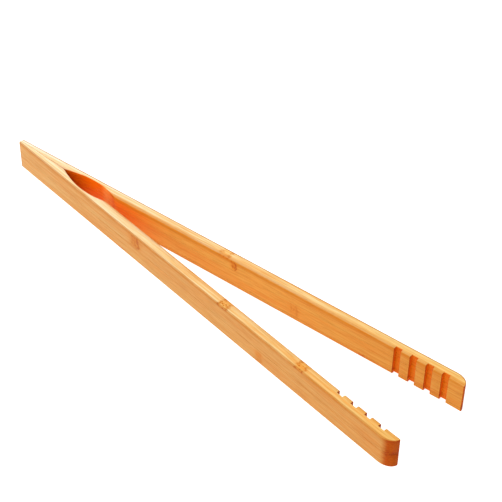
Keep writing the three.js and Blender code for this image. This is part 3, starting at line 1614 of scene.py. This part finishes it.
@dataclass
class Strip:
    """One glued strip of an arm, drawn whole from the back end to the tip.

    Attributes:
        side: The arm it belongs to.
        tier: Its place in the stack.
        finish: Its bamboo.
        shape: The arm's outline.
        lowest: Whether its underside is the arm's own.
        highest: Whether its top is the arm's own.
        outer_arris: Radius of the softened outer long edges, in millimetres.
        glued_edge: Radius of the edges along a glue line, in millimetres.
        most_round: The most that a radius may take of the strip's thickness.
        round_steps: Number of straight pieces that a softened edge is drawn with.
        hold: Width of the flat beside a softened edge that ends its soft shading, in millimetres.
        weld: Distance within which points become one, in millimetres.
        sharp_from: Angle between two faces from which their edge is sharp, in degrees.
    """

    side: Side
    tier: Tier
    finish: BambooFinish
    shape: ArmShape
    lowest: bool
    highest: bool
    outer_arris: float = 0.5
    glued_edge: float = 0.05
    most_round: float = 0.4
    round_steps: int = 6
    hold: float = 0.04
    weld: float = 0.0002
    sharp_from: float = 32.0

    @property
    def name(self) -> str:
        """The strip's name, as the frame's nodes begin."""
        return f"{self.side.name.lower()}_{self.tier.value}"

    @property
    def nodes(self) -> tuple[str, ...]:
        """The frame's nodes that the strip stands for."""
        return tuple(f"{self.name}_{part}" for part in ("head", "neck", "blade"))

    @property
    def heights(self) -> Band:
        """Heights of the underside and the top, in millimetres, read from the frame."""
        low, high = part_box(self.nodes[-1])
        return low.z / MM, high.z / MM

    def _corner(self, centre: Vector, radius: float, first: float, soft: bool) -> list[Vector]:
        """The points that turn one corner of a section.

        Args:
            centre: Where the round's centre lies, in depth and height.
            radius: The round's radius.
            first: The angle that the round starts at.
            soft: Whether it is a round or only the hair's breadth of a glued edge.

        Returns:
            The points in order.
        """
        steps = self.round_steps if soft else 1
        turns = [first + QUARTER_TURN * step / steps for step in range(steps + 1)]
        points = [centre + radius * Vector((math.cos(turn), math.sin(turn))) for turn in turns]
        if soft:
            ahead = [self.hold * Vector((-math.sin(turn), math.cos(turn))) for turn in turns]
            points = [points[0] - ahead[0], *points, points[-1] + ahead[-1]]
        return points

    def _section(self, cut: Slice, low: float, high: float) -> list[Vector]:
        """The outline of one cut through the strip.

        Args:
            cut: The cut.
            low: Height of the strip's underside.
            high: Height of its top.

        Returns:
            The outline's points in order, in depth and height.
        """
        room = self.most_round * (cut.inner - cut.outer)
        outer = min(self.outer_arris, room)
        inner = min(cut.arris, room)
        corners = (
            (cut.outer, low, 1, 1, self.lowest, outer),
            (cut.inner, low, -1, 1, self.lowest, inner),
            (cut.inner, high, -1, -1, self.highest, inner),
            (cut.outer, high, 1, -1, self.highest, outer),
        )
        points: list[Vector] = []
        first = math.pi
        for depth, height, inward, upward, soft, radius in corners:
            turn = radius if soft else self.glued_edge
            centre = Vector((depth + inward * turn, height + upward * turn))
            points += self._corner(centre, turn, first, soft)
            first += QUARTER_TURN
        return points

    def _spot(self, station: float, point: Vector, half: float) -> Vector:
        """Where a point of the strip lies in the frame.

        Args:
            station: Its distance along the arm.
            point: Its depth and height.
            half: Half the length of the tongs, in millimetres.

        Returns:
            The place in metres.
        """
        x, y = self.shape.place(station, point.x)
        return Vector(((x - half) * MM, self.side.value * y * MM, point.y * MM))

    def _rings(self, build: bmesh.types.BMesh, half: float) -> list[list[bmesh.types.BMVert]]:
        """Place the points of every section, each with its grain and depth.

        Args:
            build: The mesh being built.
            half: Half the length of the tongs, in millimetres.

        Returns:
            The points, section by section.
        """
        low, high = self.heights
        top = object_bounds()[1].z / MM
        grain = build.verts.layers.float_vector.new("grain")
        depth = build.verts.layers.float_vector.new("depth")
        rings = []
        for cut in self.shape.slices():
            ring = []
            for point in self._section(cut, low, high):
                station = self.shape.station_at(cut, point.x)
                vertex = build.verts.new(self._spot(station, point, half))
                vertex[grain] = (cut.station, point.x, point.y)
                vertex[depth] = (point.x - cut.outer, cut.inner - point.x, min(point.y, top - point.y))
                ring.append(vertex)
            rings.append(ring)
        return rings

    def mesh(self, half: float) -> bpy.types.Mesh:
        """Loft the sections into one closed mesh that carries its grain.

        Args:
            half: Half the length of the tongs, in millimetres.

        Returns:
            The finished mesh.
        """
        build = bmesh.new()
        rings = self._rings(build, half)
        for ring, following in zip(rings, rings[1:]):
            for spot in range(len(ring)):
                ahead = (spot + 1) % len(ring)
                build.faces.new((ring[spot], ring[ahead], following[ahead], following[spot]))
        build.faces.new(rings[0])
        build.faces.new(reversed(rings[-1]))
        bmesh.ops.remove_doubles(build, verts=build.verts, dist=self.weld * MM)
        bmesh.ops.recalc_face_normals(build, faces=build.faces)
        for face in build.faces:
            face.smooth = True
        made = bpy.data.meshes.new(self.name)
        build.to_mesh(made)
        build.free()
        made.set_sharp_from_angle(angle=math.radians(self.sharp_from))
        self._mark_cuts(made)
        return made

    def _mark_cuts(self, mesh: bpy.types.Mesh) -> None:
        """Store how squarely each corner of the mesh cuts across the fibres.

        Args:
            mesh: The strip's mesh.
        """
        along = Vector((self.shape.cos, self.side.value * self.shape.sin, 0.0))
        cut = mesh.attributes.new("cut", "FLOAT", "CORNER")
        for corner, normal in zip(cut.data, mesh.corner_normals):
            corner.value = abs(normal.vector.dot(along))

    def make(self, half: float) -> bpy.types.Object:
        """Build the strip and dress it.

        Args:
            half: Half the length of the tongs, in millimetres.

        Returns:
            The strip's object.
        """
        piece = bpy.data.objects.new(f"{self.name}_strip", self.mesh(half))
        bpy.context.scene.collection.objects.link(piece)
        low, high = self.heights
        piece.data.materials.append(self.finish.material(low, high, self.shape))
        middle = Vector((self.shape.neck_thickness / 2, low))
        start, end = (
            self._spot(self.shape.neck_station + run, middle, half)
            for run in (-self.shape.flex_before_neck, self.shape.flex_after_neck)
        )
        f"{self.side.name.lower()}_arm"
        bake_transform(piece)
        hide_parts(*self.nodes)
        return piece


@dataclass
class Arm:
    """One arm: its strips glued edge to edge.

    Attributes:
        side: Which arm it is.
        finishes: The bamboo of each strip, from the lowest up.
        shape: The arm's outline.
    """

    side: Side
    finishes: dict[Tier, BambooFinish]
    shape: ArmShape = field(default_factory=ArmShape)

    def strips(self) -> list[Strip]:
        """Lay out the arm's strips.

        Returns:
            The strips from the lowest up.
        """
        tiers = list(self.finishes)
        return [
            Strip(self.side, tier, self.finishes[tier], self.shape, tier is tiers[0], tier is tiers[-1])
            for tier in tiers
        ]

    def make(self, half: float) -> list[bpy.types.Object]:
        """Build every strip.

        Args:
            half: Half the length of the tongs, in millimetres.

        Returns:
            The strips' objects.
        """
        return [strip.make(half) for strip in self.strips()]


def right_arm() -> Arm:
    """The arm on the right of the centre plane: two strips, with painted shade on the walls of the grooves.

    Returns:
        The arm, not built yet.
    """
    # Painted shade: dark groove walls on this arm's shadowed side.
    shaded_walls = SawnFaces(painted_wall_shading=(0.36, 0.055, 0.001))
    lower = BambooFinish(
        "right_lower_oiled_bamboo",
        "right_lower_bamboo",
        seed=17.0,
        arrises=Arrises(outer_share=0.1),
        sawn=shaded_walls,
        marks=(
            NodeMark(Face.OUTER, 213.0, half_length=3.0, lines=0.15, stain=0.8),
            NodeMark(Face.INNER, 128.0, half_length=4.0),
            NodeMark(Face.BOTTOM, 96.0, half_length=3.5),
        ),
    )
    upper = BambooFinish(
        "right_upper_oiled_bamboo",
        "right_upper_bamboo",
        seed=41.0,
        wide=Tone((0.53, 0.29, 0.095), (0.495, 0.243, 0.062)),
        arrises=Arrises(inner_shade_share=0.6),
        sawn=shaded_walls,
        skin_up=False,
        marks=(
            NodeMark(Face.OUTER, 111.0, half_length=5.2, lines=0.65, stain=1.0),
            NodeMark(Face.TOP, 183.5, half_length=3.6, lines=1.0, stain=0.7),
            NodeMark(Face.TOP, 241.5, half_length=3.3, lines=1.0, stain=0.7),
            NodeMark(Face.INNER, 196.0, half_length=4.0),
        ),
    )
    return Arm(Side.RIGHT, {Tier.LOWER: lower, Tier.UPPER: upper})


def left_arm() -> Arm:
    """The arm on the left of the centre plane: three strips, the upper one paler.

    Returns:
        The arm, not built yet.
    """
    lower = BambooFinish(
        "left_lower_oiled_bamboo",
        "left_lower_bamboo",
        seed=73.0,
        marks=(
            NodeMark(Face.INNER, 245.5, half_length=3.0, lines=0.5, stain=0.7),
            NodeMark(Face.OUTER, 71.0, half_length=3.5),
            NodeMark(Face.BOTTOM, 190.0, half_length=3.5),
        ),
    )
    middle = BambooFinish(
        "left_middle_oiled_bamboo",
        "left_middle_bamboo",
        seed=101.0,
        skin_up=False,
        marks=(
            NodeMark(Face.INNER, 203.0, half_length=4.0, lines=0.35, stain=0.3),
            NodeMark(Face.OUTER, 131.0, half_length=4.5),
        ),
    )
    upper = BambooFinish(
        "left_upper_oiled_bamboo",
        "left_upper_bamboo",
        seed=139.0,
        narrow=Tone((0.9, 0.91, 0.8), (0.81, 0.545, 0.19)),
        arrises=Arrises(outer_share=0.7),
        marks=(
            NodeMark(Face.TOP, 155.5, half_length=3.6, lines=0.8, stain=0.5),
            NodeMark(Face.INNER, 163.0, half_length=2.6, lines=0.9, stain=1.0),
            NodeMark(Face.OUTER, 224.0, half_length=4.0),
        ),
    )
    return Arm(Side.LEFT, {Tier.LOWER: lower, Tier.MIDDLE: middle, Tier.UPPER: upper})


# ---------------------------------------------------------------- the studio


@dataclass(frozen=True)
class SoftLight:
    """A soft box that faces the tongs.

    Attributes:
        name: The light's name.
        place: Where it hangs, in metres.
        size: The side of its square face, in metres.
        power: Its power in watts.
        colour: Its colour.
    """

    name: str
    place: tuple[float, float, float]
    size: float
    power: float
    colour: Colour = (1.0, 1.0, 1.0)

    def make(self) -> None:
        """Hang the light."""
        lamp = bpy.data.lights.new(self.name, "AREA")
        lamp.size = self.size
        lamp.energy = self.power
        lamp.color = self.colour
        made = bpy.data.objects.new(self.name, lamp)
        made.location = self.place
        made.rotation_euler = (-Vector(self.place)).to_track_quat("-Z", "Y").to_euler()
        bpy.context.scene.collection.objects.link(made)


@dataclass(frozen=True)
class Studio:
    """A white table, soft light and the camera.

    Attributes:
        floor_side: Side of the square floor, in metres.
        floor_colour: Its colour.
        floor_roughness: How dull it is.
        floor_glow: How brightly the lit table shines of itself.
        sky: Strength of the even light from all round.
        white: Colour of the table's glow and of the even light.
        azimuth: Where the camera stands round the tongs, in degrees.
        elevation: How high it looks down from, in degrees.
        roll: How far it is tipped sideways, in degrees.
        aim: The point it looks at, in metres.
        distance: Its distance from that point, in metres.
        lens: Its focal length in millimetres.
        sensor: The width of its sensor in millimetres.
        nearest: The nearest distance that it sees, in metres.
        lights: The soft boxes.
    """

    floor_side: float = 6.0
    floor_colour: Colour = (0.6, 0.6, 0.6)
    floor_roughness: float = 0.9
    floor_glow: float = 0.8
    sky: float = 0.73
    white: Colour = (1.0, 1.0, 1.0)
    azimuth: float = 43.566
    elevation: float = 40.2003
    roll: float = 0.989
    aim: tuple[float, float, float] = (0.003933, 0.030764, 0.00875)
    distance: float = 0.752791
    lens: float = 100.417
    sensor: float = 36.0
    nearest: float = 0.01
    lights: tuple[SoftLight, ...] = (
        SoftLight("softbox_key", (-0.35, -0.45, 1.15), size=0.8, power=10.4),
        SoftLight("softbox_fill", (0.1, -0.95, 0.4), size=0.6, power=2.3),
    )

    def make(self) -> None:
        """Set up the floor, the light and the camera."""
        self._camera()
        self._floor()
        self._sky()
        for light in self.lights:
            light.make()
        view = bpy.context.scene.view_settings
        view.view_transform = "Standard"
        view.look = "None"

    def _camera(self) -> None:
        """Stand the camera at its place and make it the scene's."""
        data = bpy.data.cameras.new("camera")
        data.lens = self.lens
        data.sensor_width = self.sensor
        data.clip_start = self.nearest
        data.dof.use_dof = False
        around, up = math.radians(self.azimuth), math.radians(self.elevation)
        back = Vector((math.sin(around) * math.cos(up), -math.cos(around) * math.cos(up), math.sin(up)))
        made = bpy.data.objects.new("camera", data)
        made.location = Vector(self.aim) + self.distance * back
        level = (-back).to_track_quat("-Z", "Y")
        tipped = level @ Euler((0, 0, math.radians(self.roll))).to_quaternion()
        made.rotation_euler = tipped.to_euler()
        bpy.context.scene.collection.objects.link(made)
        bpy.context.scene.camera = made

    def _floor(self) -> None:
        """Lay the white table top."""
        half = self.floor_side / 2
        mesh = bpy.data.meshes.new("table_top")
        corners = [(-half, -half, 0), (half, -half, 0), (half, half, 0), (-half, half, 0)]
        mesh.from_pydata(corners, [], [(0, 1, 2, 3)])
        made = bpy.data.objects.new("table_top", mesh)
        bpy.context.scene.collection.objects.link(made)
        paint = bpy.data.materials.new("white_table")
        paint.use_nodes = True
        bench = Bench(paint.node_tree)
        shader = bench.node("ShaderNodeBsdfPrincipled")
        shader.inputs["Base Color"].default_value = (*self.floor_colour, 1.0)
        shader.inputs["Roughness"].default_value = self.floor_roughness
        shader.inputs["Emission Color"].default_value = (*self.white, 1.0)
        shader.inputs["Emission Strength"].default_value = self.floor_glow
        output = bench.node("ShaderNodeOutputMaterial")
        bench.feed(output.inputs["Surface"], shader.outputs[0])
        mesh.materials.append(paint)
        made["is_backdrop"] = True

    def _sky(self) -> None:
        """Light the scene evenly from all round."""
        world = bpy.data.worlds.new("studio")
        world.use_nodes = True
        bench = Bench(world.node_tree)
        shader = bench.node("ShaderNodeBackground")
        shader.inputs["Color"].default_value = (*self.white, 1.0)
        shader.inputs["Strength"].default_value = self.sky
        output = bench.node("ShaderNodeOutputWorld")
        bench.feed(output.inputs["Surface"], shader.outputs[0])
        bpy.context.scene.world = world


def main() -> None:
    """Build the studio and both arms round the frame, and report each piece."""
    logging.basicConfig(level=logging.INFO, format="%(name)s: %(message)s")
    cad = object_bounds()
    half = (cad[1].x - cad[0].x) / 2 / MM
    Studio().make()
    for arm in (left_arm(), right_arm()):
        for piece in arm.make(half):
            log.info("%s: %d faces", piece.name, len(piece.data.polygons))


if __name__ == "__main__":
    main()
